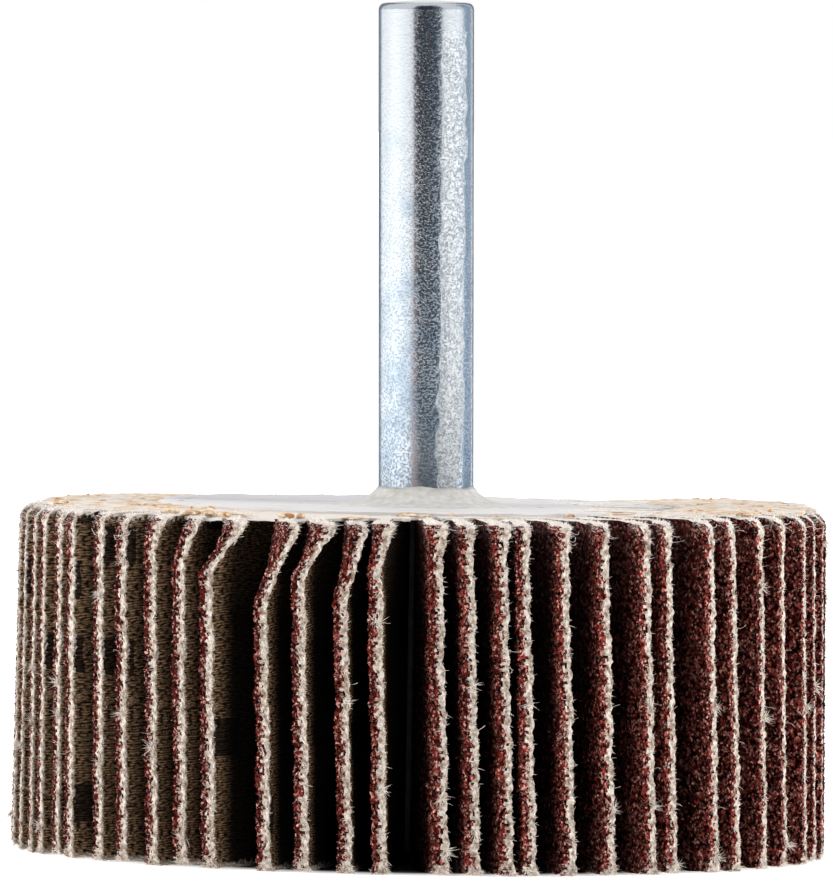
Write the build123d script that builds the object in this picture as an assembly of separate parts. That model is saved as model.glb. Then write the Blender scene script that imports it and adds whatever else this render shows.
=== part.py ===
from build123d import *
import math
import os

os.makedirs("parts", exist_ok=True)

# A mounted flap wheel for a drill or a straight grinder. Strips of coated abrasive
# cloth stand on edge round a cast resin core, the core grips a steel shank, and a
# thin card disc covers the top face. Lengths are millimetres and angles degrees.
# The origin is the middle of the underside and +Z points up, along the shank. The
# front is the -Y side. Angles round the wheel start there and grow towards +X.

# Coated abrasive cloth
cloth_thickness = 0.50
grain_thickness = 0.45

# Pack of flaps
wheel_diameter = 50.6
flap_width = 21.6
flap_count = 57
root_gap = 0.08
root_depth = 2.2

# The pack is set by hand. Its flaps stand closer at the front by this share.
crowding = 0.13
# A tip shifts sideways by this much from the top face down to the underside.
pack_twist = 0.8
# The tips reach this much further out at the underside than at the top face.
underside_flare = 0.25
# A leaning flap is straight for this share of its free length, then curves away.
bend_start = 0.55

# How far each front tip leans away from its root, as a share of the free gap
# between two tips, from the left side of the wheel round to its right side.
front_leans = [
    0.90, 1.00, 0.85, 0.25, 0.10, -0.60, -0.20, -0.45, -0.45, -0.65,
    -0.95, -0.05, -0.05, 0.10, -0.10, 0.80, 0.45, 0.20, -0.50, -0.45,
    -0.30, 0.00, -0.60, 0.05, -0.30, -0.10, -0.10, 0.45, 0.15, 0.25,
]
first_front_flap = -(len(front_leans) // 2)

# Outer top corners that are folded over. For each flap: how far the corner leans
# over, as a share of the same gap, and how far below the top face the fold starts.
corner_folds = {
    -7: (0.40, 2.0),
    -6: (1.00, 3.0),
    -5: (1.90, 3.5),
    -4: (1.75, 4.9),
    -3: (1.55, 3.6),
    -2: (1.00, 5.2),
    -1: (0.55, 3.0),
    0: (0.20, 2.0),
}

# The other tips sway in two slow waves round the wheel. For each wave: its share
# of the gap between two tips, and its turn in radians from one flap to the next.
hidden_waves = ((0.45, 2.3), (0.25, 5.9))

# Cover disc
cover_diameter = 33.2
cover_thickness = 0.20

# Resin core, with a collar that climbs the shank
collar_diameter = 7.8
collar_height = 1.0
collar_lip = 0.15
underside_recess = 0.80

# Shank
shank_diameter = 6.0
shank_exposed = 31.7
shank_embedded = 16.0
# It is set a little off the pack's middle, towards +X, and leans towards -X.
shank_offset = 0.2
shank_lean = 0.9
shank_edge_round = 0.45
shank_crown = 0.15
groove_count = 4
groove_pitch = 4.0
groove_width = 1.4
groove_depth = 0.4
# The highest groove is the shank's neck. It ends this far above the collar.
neck_above_collar = 0.05

# What follows from the sizes above
flap_thickness = cloth_thickness + grain_thickness
tip_radius = wheel_diameter / 2
root_radius = flap_count * (flap_thickness + root_gap) / (2 * math.pi * (1 - crowding))
core_radius = root_radius + root_depth
tip_gap = 2 * math.pi * tip_radius * (1 - crowding) / flap_count - flap_thickness
shank_radius = shank_diameter / 2
cover_bottom = flap_width
cover_top = cover_bottom + cover_thickness
collar_radius = collar_diameter / 2
collar_top = cover_top + collar_height


def root_angle(flap):
    """Angle of a flap's root round the wheel. Flap 0 stands at the front."""
    even = 360 * flap / flap_count
    return even - math.degrees(crowding * math.sin(math.radians(even)))


def tip_lean(flap):
    """Sideways lean of a flap's tip at half height."""
    place = flap - first_front_flap
    if 0 <= place < len(front_leans):
        share = front_leans[place]
    else:
        share = sum(size * math.sin(turn * flap) for size, turn in hidden_waves)
    return share * tip_gap


def flap_section(tip_shift, height):
    """Outline of a flap seen from above, with its root on the X axis."""
    half = flap_thickness / 2
    reach = tip_radius + underside_flare * (1 - height / flap_width)
    tip_x = math.sqrt(reach**2 - (abs(tip_shift) + half) ** 2)
    bend_x = core_radius + bend_start * (tip_x - core_radius)
    outline = [
        Line((root_radius, -half), (core_radius, -half)),
        Bezier((core_radius, -half), (bend_x, -half), (tip_x, tip_shift - half)),
        Line((tip_x, tip_shift - half), (tip_x, tip_shift + half)),
        Bezier((tip_x, tip_shift + half), (bend_x, half), (core_radius, half)),
        Line((core_radius, half), (root_radius, half)),
        Line((root_radius, half), (root_radius, -half)),
    ]
    return Pos(0, 0, height) * make_face(outline)


def make_flap(flap):
    """One strip of abrasive cloth, ruled from the underside to its top edge."""
    fold_share, fold_start = corner_folds.get(flap, (0, 0))
    levels = [(0, 0), (flap_width, fold_share * tip_gap)]
    if fold_start:
        levels.insert(1, (flap_width - fold_start, 0))
    sections = []
    for height, fold in levels:
        twist = pack_twist * (0.5 - height / flap_width)
        sections.append(flap_section(tip_lean(flap) + twist + fold, height))
    strip = loft(sections, ruled=True)
    return Rot(0, 0, root_angle(flap) - 90) * strip


def make_shank():
    """Turned pin with a crowned end, and grooves on the stretch inside the resin."""
    top = shank_exposed
    points = [(0, -shank_embedded), (shank_radius, -shank_embedded)]
    for groove in reversed(range(groove_count)):
        upper = collar_height + neck_above_collar - groove * groove_pitch
        lower = upper - groove_width
        points.append((shank_radius, lower))
        points.append((shank_radius - groove_depth, lower))
        points.append((shank_radius - groove_depth, upper))
        points.append((shank_radius, upper))
    shoulder = (shank_radius, top - shank_crown - shank_edge_round)
    rim = (shank_radius - shank_edge_round, top - shank_crown)
    tip = (0, top)
    points.append(shoulder)
    outline = [
        Polyline(*points),
        TangentArc(shoulder, rim, tangent=(0, 1)),
        TangentArc(tip, rim, tangent=(1, 0)),
        Line(tip, points[0]),
    ]
    pin = revolve(Plane.XZ * make_face(outline), axis=Axis.Z)
    return Pos(shank_offset, 0, cover_top) * Rot(0, -shank_lean, 0) * pin


def make_core(shank):
    """Cast resin round the shank, with a slot for each flap's root."""
    depth = cover_bottom - underside_recess
    casting = Pos(0, 0, underside_recess + depth / 2) * Cylinder(core_radius, depth)
    lip_radius = shank_radius + collar_lip
    outline = [
        Polyline(
            (lip_radius, collar_top),
            (0, collar_top),
            (0, cover_bottom),
            (collar_radius, cover_bottom),
            (collar_radius, cover_top),
        ),
        Bezier((collar_radius, cover_top), (lip_radius, cover_top), (lip_radius, collar_top)),
    ]
    collar = revolve(Plane.XZ * make_face(outline), axis=Axis.Z)
    slot_end = tip_radius
    slot_middle = (root_radius + slot_end) / 2
    slot = Box(slot_end - root_radius, flap_thickness, flap_width)
    slots = [
        Rot(0, 0, root_angle(flap) - 90) * Pos(slot_middle, 0, flap_width / 2) * slot
        for flap in flap_numbers
    ]
    return casting - slots + Pos(shank_offset, 0, 0) * collar - shank


def make_cover():
    """Card disc that lies on the flap tops, round the resin collar."""
    disc = Cylinder(cover_diameter / 2, cover_thickness)
    hole = Pos(shank_offset, 0, 0) * Cylinder(collar_radius, cover_thickness)
    return Pos(0, 0, cover_bottom + cover_thickness / 2) * (disc - hole)


half_count = flap_count // 2
flap_numbers = range(-half_count, flap_count - half_count)

shank = make_shank()
export_step(shank, "parts/shank.step")
export_step(make_core(shank), "parts/resin_core.step")
export_step(make_cover(), "parts/cover_disc.step")
for number, flap in enumerate(flap_numbers, start=1):
    export_step(make_flap(flap), f"parts/flap_{number:02d}.step")

print(f"root radius {root_radius:.2f}, core radius {core_radius:.2f}, tip gap {tip_gap:.2f}")
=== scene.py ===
# %% [markdown]
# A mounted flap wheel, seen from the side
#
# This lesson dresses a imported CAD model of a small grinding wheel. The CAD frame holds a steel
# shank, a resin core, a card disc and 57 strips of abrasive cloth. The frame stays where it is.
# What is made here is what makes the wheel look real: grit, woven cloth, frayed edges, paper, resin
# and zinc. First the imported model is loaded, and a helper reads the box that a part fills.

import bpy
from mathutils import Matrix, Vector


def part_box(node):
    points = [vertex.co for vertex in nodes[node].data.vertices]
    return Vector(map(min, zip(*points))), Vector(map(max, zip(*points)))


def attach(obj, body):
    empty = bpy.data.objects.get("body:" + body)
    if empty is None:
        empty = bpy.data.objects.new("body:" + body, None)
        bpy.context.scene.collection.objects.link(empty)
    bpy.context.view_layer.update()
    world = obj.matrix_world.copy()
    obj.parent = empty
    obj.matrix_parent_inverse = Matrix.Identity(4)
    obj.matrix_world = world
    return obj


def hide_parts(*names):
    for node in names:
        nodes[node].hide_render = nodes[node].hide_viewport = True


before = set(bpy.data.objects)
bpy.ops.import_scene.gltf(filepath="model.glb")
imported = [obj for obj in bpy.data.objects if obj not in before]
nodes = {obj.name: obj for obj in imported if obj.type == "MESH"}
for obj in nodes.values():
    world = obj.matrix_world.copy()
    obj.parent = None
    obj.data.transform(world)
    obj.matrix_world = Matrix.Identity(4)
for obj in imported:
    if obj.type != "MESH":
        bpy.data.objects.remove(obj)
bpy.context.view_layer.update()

# %% Other modules and the unit
import math

import bmesh
import bpy
import numpy as np
from mathutils import Matrix, Vector, noise

mm = 0.001
flap_names = sorted(name for name in nodes if name.startswith("flap_"))
print(len(nodes), "nodes,", len(flap_names), "of them flaps")

# %% [markdown]
# The camera stands as the photographer's did: far off with a long lens, a little above
# the card disc, so the top face is a thin sliver. It is rolled by about a degree, which
# sets the wheel down a little on its right side and the shank upright.

# %% Camera
camera_place = Vector((0, -800, 47.6)) * mm
camera_target = Vector((-0.46, 0, 25.8)) * mm
camera_roll = math.radians(0.95)
camera_sensor = 36
camera_focal = 519.8

camera = bpy.data.objects.new("camera", bpy.data.cameras.new("camera"))
bpy.context.scene.collection.objects.link(camera)
camera.data.sensor_width = camera_sensor
camera.data.lens = camera_focal
camera.data.clip_end = 50
aim = (camera_target - camera_place).to_track_quat("-Z", "Y").to_matrix().to_4x4()
camera.matrix_world = Matrix.Translation(camera_place) @ aim @ Matrix.Rotation(camera_roll, 4, "Z")
bpy.context.scene.camera = camera
print("camera stands", round((camera_target - camera_place).length, 3), "m from the wheel")

# %% [markdown]
# Materials are trees of nodes. Two small helpers are enough: one turns a colour that is given for a
# screen (sRGB) into the linear values that the renderer works in, and one adds a node with its
# settings and links.

# %% Helpers for materials
def colour(code):
    """Linear colour of an sRGB hex code such as '#d8cbb4'."""
    channels = [int(code[i:i + 2], 16) / 255 for i in (1, 3, 5)]
    linear = [c / 12.92 if c <= 0.04045 else ((c + 0.055) / 1.055) ** 2.4 for c in channels]
    return (*linear, 1)


def add_node(tree, kind, inputs=None, **settings):
    """A node with its settings. An input is a value, or another node's output."""
    node = tree.nodes.new(kind)
    for name, value in settings.items():
        setattr(node, name, value)
    for socket, value in (inputs or {}).items():
        if isinstance(value, bpy.types.NodeSocket):
            tree.links.new(value, node.inputs[socket])
        else:
            node.inputs[socket].default_value = value
    return node


def new_material(name, **surface):
    """A material, its tree, its Principled shader and the Object coordinates."""
    material = bpy.data.materials.new(name)
    material.use_nodes = True
    tree = material.node_tree
    shader = tree.nodes["Principled BSDF"]
    for socket, value in surface.items():
        shader.inputs[socket.replace("_", " ")].default_value = value
    place = add_node(tree, "ShaderNodeTexCoord").outputs["Object"]
    return material, tree, shader, place


# A Mix node keeps a socket of each name for every kind of data. These are the places of
# its factor and its two colours, and of the mixed colour.
FACTOR, COLOUR_A, COLOUR_B, MIXED = 0, 6, 7, 2
print("a grey of half the screen's range is", round(colour("#808080")[0], 2), "in linear light")

# %% [markdown]
# At the tip a flap is worn and open to the light. Further in, the flaps stand close together in
# shade, so painted shade darkens both faces of a flap behind the tip. Painted light from above
# makes it a little less dark near the open top. Every strip has a UV map in real metres: the
# distance in from the tip, and the height. So one helper can paint the shade on both faces of the
# cloth.

# %% Painted shade away from the tip
gap_shade_start = 0.1 * mm
lit_height = 6 * mm
share_at_top = 0.72
cloth_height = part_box("flap_01")[1].z


def painted_gap_shade(tree, surface_colour, inner_code, dark_depth, most):
    """Mixes in painted shade behind the tip, most of it from dark_depth inwards, less near the top.
    """
    strip = add_node(tree, "ShaderNodeUVMap", uv_map="strip").outputs["UV"]
    spot = add_node(tree, "ShaderNodeSeparateXYZ", {"Vector": strip})
    # Painted light from above: the painted shade is weaker near the open top.
    by_height = add_node(
        tree,
        "ShaderNodeMapRange",
        {
            "Value": spot.outputs["Y"],
            "From Min": cloth_height - lit_height,
            "From Max": cloth_height,
            "To Min": most,
            "To Max": share_at_top * most,
        },
    )
    # Painted shade: how dark a place is, by its distance in from the tip.
    share = add_node(
        tree,
        "ShaderNodeMapRange",
        {
            "Value": spot.outputs["X"],
            "From Min": gap_shade_start,
            "From Max": dark_depth,
            "To Max": by_height.outputs["Result"],
        },
        interpolation_type="SMOOTHSTEP",
    )
    mix = add_node(
        tree,
        "ShaderNodeMix",
        {FACTOR: share.outputs["Result"], COLOUR_A: surface_colour, COLOUR_B: colour(inner_code)},
        data_type="RGBA",
    )
    return mix.outputs[MIXED]


print("the flaps darken from", gap_shade_start / mm, "mm in from the tip")

# %% [markdown]
# The top edges of the flaps were dusted with white resin when the core was cast, and they also get
# painted light from above. So the cotton turns nearly white in the last half millimetre below the
# top face, whether it is a cut edge, a loose fibre or the face of the cloth.

# %% Whiter at the top edge
cap_depth, solid_cap_depth = 0.55 * mm, 0.11 * mm


def whiter_cap(tree, place, surface_colour):
    """Mixes in the white dust and painted light from above, by how near the top edge the place is.
    """
    height = add_node(tree, "ShaderNodeSeparateXYZ", {"Vector": place})
    share = add_node(
        tree,
        "ShaderNodeMapRange",
        {
            "Value": height.outputs["Z"],
            "From Min": cloth_height - cap_depth,
            "From Max": cloth_height - solid_cap_depth,
            "To Max": 0.7,
        },
    )
    mix = add_node(
        tree,
        "ShaderNodeMix",
        {FACTOR: share.outputs["Result"], COLOUR_A: surface_colour, COLOUR_B: colour("#ece6e0")},
        data_type="RGBA",
    )
    return mix.outputs[MIXED]


print("the flaps are", round(cloth_height / mm, 1), "mm wide, and white at the top")

# %% [markdown]
# The grit is brown fused aluminium oxide, sieved to about 0.35 mm and glued on with a dark resin.
# Each grain is a cluster of small glassy splinters with their own tints, from nearly black to rust,
# and their own tilts, so some catch the light. One Voronoi texture divides the coat into grains, a
# finer one into splinters and the finest into painted glints: dusty pink specks that stand in for
# highlights. A cell's colour gives the tint and, bent into the normal, the tilt.

# %% Brown alumina coat
grain_size = 0.34 * mm
splinter_size = 0.15 * mm
glint_size = 0.1 * mm
grain_height = 0.15 * mm
# Splinters stand a little taller than they are wide.
splinter_shape = (1, 1, 0.7)
splinter_tilt = (1.9, 1.9, 1.9)
dark_grit_depth = 2.3 * mm


def brown_alumina():
    """Material of the coat. Its glue is dull, the splinters' tilts catch light, and its palest
    specks are painted glints.
    """
    material, tree, shader, place = new_material(
        "brown_alumina_glued_grit", Roughness=0.35, IOR=1.6, Specular_IOR_Level=0.06
    )
    grains = add_node(tree, "ShaderNodeTexVoronoi", {"Vector": place, "Scale": 1 / grain_size})
    tall = add_node(tree, "ShaderNodeMapping", {"Vector": place, "Scale": splinter_shape})
    splinters = add_node(
        tree,
        "ShaderNodeTexVoronoi",
        {"Vector": tall.outputs["Vector"], "Scale": 1 / splinter_size},
    )
    glint_cells = add_node(
        tree,
        "ShaderNodeTexVoronoi",
        {"Vector": tall.outputs["Vector"], "Scale": 1 / glint_size},
    )
    tint = add_node(tree, "ShaderNodeSeparateColor", {"Color": splinters.outputs["Color"]})
    glint_tint = add_node(tree, "ShaderNodeSeparateColor", {"Color": glint_cells.outputs["Color"]})
    share = add_node(
        tree,
        "ShaderNodeMath",
        {0: tint.outputs["Red"], 1: 2.1},
        operation="POWER",
    )
    dark_red = add_node(
        tree,
        "ShaderNodeMix",
        {FACTOR: share.outputs["Value"], COLOUR_A: colour("#180304"), COLOUR_B: colour("#90342a")},
        data_type="RGBA",
    )
    # Painted glints: the palest cells turn pale pink, standing in for highlights.
    painted_glints = add_node(
        tree,
        "ShaderNodeMapRange",
        {"Value": glint_tint.outputs["Red"], "From Min": 0.72, "From Max": 0.98, "To Max": 0.85},
    )
    grit_colour = add_node(
        tree,
        "ShaderNodeMix",
        {
            FACTOR: painted_glints.outputs["Result"],
            COLOUR_A: dark_red.outputs[MIXED],
            COLOUR_B: colour("#e8ac9c"),
        },
        data_type="RGBA",
    )
    # Painted shade deep between the flaps, with a few glints left in it.
    shaded = painted_gap_shade(tree, grit_colour.outputs[MIXED], "#140302", dark_grit_depth, 0.86)
    tree.links.new(shaded, shader.inputs["Base Color"])
    heights = add_node(
        tree,
        "ShaderNodeBump",
        {"Height": grains.outputs["Distance"], "Strength": 0.9, "Distance": grain_height},
        invert=True,
    )
    tilt = add_node(
        tree,
        "ShaderNodeVectorMath",
        {0: splinters.outputs["Color"], 1: (0.5, 0.5, 0.5)},
        operation="SUBTRACT",
    )
    tilted = add_node(
        tree,
        "ShaderNodeVectorMath",
        {0: tilt.outputs["Vector"], 1: splinter_tilt, 2: heights.outputs["Normal"]},
        operation="MULTIPLY_ADD",
    )
    facing = add_node(
        tree, "ShaderNodeVectorMath", {0: tilted.outputs["Vector"]}, operation="NORMALIZE"
    )
    tree.links.new(facing.outputs["Vector"], shader.inputs["Normal"])
    return material


grit_material = brown_alumina()
print("grains are", round(grain_size / mm, 2), "mm wide, splinters", round(splinter_size / mm, 2))

# %% [markdown]
# The back of each strip is the cloth itself: a heavy twill of cotton and polyester, filled
# with a brown size that leaves only the crests of its threads pale. The threads run along
# the flap, one every 0.15 mm, and each shows as short dashes. The strip has a UV map in
# real metres, so the pattern follows the cloth wherever it bends. Its material is built in
# four steps, and each step is a function that adds its nodes to the tree.

# %% Threads of the twill
thread_pitch = 0.155 * mm
thread_slant = math.radians(3)
thread_sway, sway_size = 0.2 * mm, 1.6 * mm
dash_length = 0.42 * mm
# At this scale a wave texture has one band for each unit of length.
one_band = 0.314


def twill_crests(tree, strip):
    """1 on the crest of a thread and 0 in the size between two threads."""
    sway = add_node(tree, "ShaderNodeTexNoise", {"Vector": strip, "Scale": 1 / sway_size})
    swayed = add_node(
        tree,
        "ShaderNodeVectorMath",
        {0: sway.outputs["Color"], 1: (0, thread_sway, 0), 2: strip},
        operation="MULTIPLY_ADD",
    )
    slanted = add_node(
        tree,
        "ShaderNodeMapping",
        {"Vector": swayed.outputs["Vector"], "Rotation": (0, 0, -thread_slant)},
    )
    dash_place = add_node(
        tree,
        "ShaderNodeMapping",
        {"Vector": slanted.outputs["Vector"], "Scale": (1 / dash_length, 1 / thread_pitch, 1)},
    ).outputs["Vector"]
    threads = add_node(
        tree,
        "ShaderNodeTexWave",
        {"Vector": dash_place, "Scale": one_band, "Distortion": 2.2, "Detail": 1},
        bands_direction="Y",
        wave_profile="SIN",
    )
    dash_noise = add_node(tree, "ShaderNodeTexNoise", {"Vector": dash_place, "Scale": 1.1})
    dashes = add_node(
        tree,
        "ShaderNodeMapRange",
        {"Value": dash_noise.outputs["Fac"], "From Min": 0.4, "From Max": 0.62},
    )
    whole = add_node(
        tree,
        "ShaderNodeMath",
        {0: threads.outputs["Fac"], 1: 0.7, 2: 0.3},
        operation="MULTIPLY_ADD",
    )
    broken = add_node(
        tree,
        "ShaderNodeMath",
        {0: whole.outputs["Value"], 1: dashes.outputs["Result"]},
        operation="MULTIPLY",
    )
    return broken.outputs["Value"]


print("the twill has", round(1 / (thread_pitch / mm), 1), "threads to the millimetre")

# %% [markdown]
# The back was printed before the strips were cut from the roll, so a flap carries stray
# fragments at the most. Plain dark blocks stand for them: the place is snapped to a
# coarse grid, and a random value inks about one cell in thirteen.

# %% Size and print on the cloth
film_size = 4 * mm
print_block = (2.2 * mm, 2.2 * mm, 2.3 * mm)
least_inked = 0.92


def sized_cloth(tree, strip, place, crests):
    """Colour of the sized cloth, with the blocks of its print."""
    size_film = add_node(tree, "ShaderNodeTexNoise", {"Vector": strip, "Scale": 1 / film_size})
    film = add_node(
        tree,
        "ShaderNodeMix",
        {
            FACTOR: size_film.outputs["Fac"],
            COLOUR_A: colour("#140c07"),
            COLOUR_B: colour("#2a1b11"),
        },
        data_type="RGBA",
    )
    cloth = add_node(
        tree,
        "ShaderNodeMix",
        {FACTOR: crests, COLOUR_A: film.outputs[MIXED], COLOUR_B: colour("#c9a47c")},
        data_type="RGBA",
    )
    cells = add_node(tree, "ShaderNodeVectorMath", {0: place, 1: print_block}, operation="SNAP")
    cell_value = add_node(tree, "ShaderNodeTexWhiteNoise", {"Vector": cells.outputs["Vector"]})
    inked = add_node(
        tree,
        "ShaderNodeMapRange",
        {
            "Value": cell_value.outputs["Value"],
            "From Min": least_inked,
            "From Max": least_inked + 0.01,
            "To Max": 0.85,
        },
    )
    printed = add_node(
        tree,
        "ShaderNodeMix",
        {
            FACTOR: inked.outputs["Result"],
            COLOUR_A: cloth.outputs[MIXED],
            COLOUR_B: colour("#0d0a0a"),
        },
        data_type="RGBA",
    )
    return printed.outputs[MIXED]


print("a block of print is", round(print_block[0] / mm, 1), "mm wide")

# %% [markdown]
# The size has worn off beside the tip, under the top edge and at the foot, and bare cotton
# shows there in pale tufts. Each limit is a distance from the edge that noise stretches,
# which makes it ragged. Under the top edge only the outer part of a flap is bare, since
# the disc covers the rest.

# %% Where the cloth is bare
ragged_size, tuft_size = 0.3 * mm, 0.14 * mm
bare_from, covered_from = 1.0 * mm, 3.2 * mm


def bare_shares(tree, strip):
    """How bare the cloth is: the share beside the tip, and the share at top and foot."""
    spot = add_node(tree, "ShaderNodeSeparateXYZ", {"Vector": strip})
    ragged = add_node(
        tree, "ShaderNodeTexNoise", {"Vector": strip, "Scale": 1 / ragged_size, "Detail": 3}
    )
    # For each limit: the axis of the strip's map, and how far the noise stretches it.
    from_tip, from_top, from_foot = (
        add_node(
            tree,
            "ShaderNodeMath",
            {0: ragged.outputs["Fac"], 1: stretch, 2: spot.outputs[axis]},
            operation="MULTIPLY_ADD",
        )
        for axis, stretch in (("X", -0.9 * mm), ("Y", 1.6 * mm), ("Y", -0.9 * mm))
    )
    outside = add_node(
        tree,
        "ShaderNodeMapRange",
        {
            "Value": spot.outputs["X"],
            "From Min": bare_from,
            "From Max": covered_from,
            "To Min": 0.95,
            "To Max": 0.0,
        },
    ).outputs["Result"]
    # For each limit: where baring starts, where it is full, and how bare the cloth is then.
    bare_tip, bare_top, bare_foot = (
        add_node(
            tree,
            "ShaderNodeMapRange",
            {"Value": edge.outputs["Value"], "From Min": start, "From Max": full, "To Max": most},
        )
        for edge, start, full, most in (
            (from_tip, -0.25 * mm, -0.38 * mm, 0.9),
            (from_top, cloth_height + 0.45 * mm, cloth_height + 0.65 * mm, outside),
            (from_foot, -0.1 * mm, -0.25 * mm, 0.7),
        )
    )
    bare_ends = add_node(
        tree,
        "ShaderNodeMath",
        {0: bare_top.outputs["Result"], 1: bare_foot.outputs["Result"]},
        operation="MAXIMUM",
    )
    return bare_tip.outputs["Result"], bare_ends.outputs["Value"]


def tufted_cotton(tree, strip):
    """Colour of bare cotton: pale tufts with shade between them."""
    tufts = add_node(
        tree, "ShaderNodeTexNoise", {"Vector": strip, "Scale": 1 / tuft_size, "Detail": 2}
    )
    tuft_share = add_node(
        tree,
        "ShaderNodeMapRange",
        {"Value": tufts.outputs["Fac"], "From Min": 0.38, "From Max": 0.6},
    )
    fluff = add_node(
        tree,
        "ShaderNodeMix",
        {
            FACTOR: tuft_share.outputs["Result"],
            COLOUR_A: colour("#9a8775"),
            COLOUR_B: colour("#dcd3c9"),
        },
        data_type="RGBA",
    )
    return fluff.outputs[MIXED]


print("under the top edge the cloth is bare", round(covered_from / mm, 1), "mm in at the most")

# %% [markdown]
# The material of the cloth then lays these over each other: bare cotton on the sized cloth beside
# the tip, the painted shade of the pack on both, and tufts at the two ends, whiter at the top with
# resin dust and painted light. Cotton scatters light, so it has hardly any gloss.

# %% Sized cotton twill
dark_cloth_depth = 2.0 * mm
crest_height = 0.08 * mm


def cotton_twill():
    """Material of the back of a strip."""
    material, tree, shader, place = new_material(
        "brown_sized_cotton_twill", Roughness=0.85, IOR=1.5, Specular_IOR_Level=0.08
    )
    strip = add_node(tree, "ShaderNodeUVMap", uv_map="strip").outputs["UV"]
    crests = twill_crests(tree, strip)
    fluff = tufted_cotton(tree, strip)
    bare_tip, bare_ends = bare_shares(tree, strip)
    worn = add_node(
        tree,
        "ShaderNodeMix",
        {
            FACTOR: bare_tip,
            COLOUR_A: sized_cloth(tree, strip, place, crests),
            COLOUR_B: fluff,
        },
        data_type="RGBA",
    )
    # Painted shade deep between the flaps. The bare tufts at top and foot are whiter at the top
    # with dust and painted light.
    capped = add_node(
        tree,
        "ShaderNodeMix",
        {
            FACTOR: bare_ends,
            COLOUR_A: painted_gap_shade(tree, worn.outputs[MIXED], "#040201", dark_cloth_depth, 0.97),
            COLOUR_B: whiter_cap(tree, place, fluff),
        },
        data_type="RGBA",
    )
    tree.links.new(capped.outputs[MIXED], shader.inputs["Base Color"])
    relief = add_node(
        tree,
        "ShaderNodeBump",
        {"Height": crests, "Strength": 0.8, "Distance": crest_height},
    )
    tree.links.new(relief.outputs["Normal"], shader.inputs["Normal"])
    return material


twill_material = cotton_twill()
print("the cloth's material has", len(twill_material.node_tree.nodes), "nodes")

# %% [markdown]
# Where the cloth is cut, its threads fray into a cream fuzz with no gloss. Fine noise
# mottles it between white cotton and a tan that the glue has stained.

# %% Cut cotton edge
stain_size, fuzz_size = 0.3 * mm, 0.12 * mm


def cut_cotton():
    """Material of the cut edges."""
    material, tree, shader, place = new_material(
        "frayed_cotton_edge", Roughness=0.9, IOR=1.5, Specular_IOR_Level=0.1
    )
    threads = add_node(
        tree, "ShaderNodeTexNoise", {"Vector": place, "Scale": 1 / stain_size, "Detail": 3}
    )
    share = add_node(
        tree,
        "ShaderNodeMapRange",
        {"Value": threads.outputs["Fac"], "From Min": 0.36, "From Max": 0.6},
    )
    shade = add_node(
        tree,
        "ShaderNodeMix",
        {
            FACTOR: share.outputs["Result"],
            COLOUR_A: colour("#8a7665"),
            COLOUR_B: colour("#d2c8bd"),
        },
        data_type="RGBA",
    )
    # White resin dust and painted light from above at the top edge.
    capped = whiter_cap(tree, place, shade.outputs[MIXED])
    tree.links.new(capped, shader.inputs["Base Color"])
    fuzz = add_node(tree, "ShaderNodeTexNoise", {"Vector": place, "Scale": 1 / fuzz_size})
    relief = add_node(
        tree,
        "ShaderNodeBump",
        {"Height": fuzz.outputs["Fac"], "Strength": 1.0, "Distance": fuzz_size},
    )
    tree.links.new(relief.outputs["Normal"], shader.inputs["Normal"])
    return material


def loose_cotton():
    """Material of the loose fibres and hairs: plain pale cotton, dusted and painted lighter at the
    top.
    """
    material, tree, shader, place = new_material(
        "loose_cotton_fibre", Roughness=0.8, IOR=1.5, Specular_IOR_Level=0.1
    )
    plain = add_node(tree, "ShaderNodeRGB").outputs["Color"]
    plain.default_value = colour("#d9d0c6")
    tree.links.new(whiter_cap(tree, place, plain), shader.inputs["Base Color"])
    return material


GRIT, TWILL, COTTON, FIBRE = range(4)
flap_materials = [grit_material, twill_material, cut_cotton(), loose_cotton()]
print("a flap has", len(flap_materials), "materials")

# %% [markdown]
# Each flap is drawn again, because its CAD solid is smooth. All flaps start from one flat
# blank. It is a box cut with planes: close together at the tip, where a flap wears and
# shows, and far apart inside the pack. Lengths run back from the tip in X, from grit to
# cloth in Y and up in Z. Its UV map is the place on the strip in metres.

# %% The flat blank of a flap
strip_thickness = 0.78 * mm
coat_thickness = 0.38 * mm
strip_height = cloth_height
strip_length = 14.5 * mm
half_thickness = strip_thickness / 2
coat_top = coat_thickness - half_thickness
# Places of the cuts, in mm: back from the tip, and across from the middle of the strip.
length_cuts = [0.2, 0.45, 0.75, 1.1, 1.6, 2.3, 3.2, 4.5, 6.5, 9.5]
thickness_cuts = [-0.27, -0.14, -0.01, 0.13, 0.27]
height_pitch = 0.19 * mm
cut_slack = 0.0001 * mm


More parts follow.
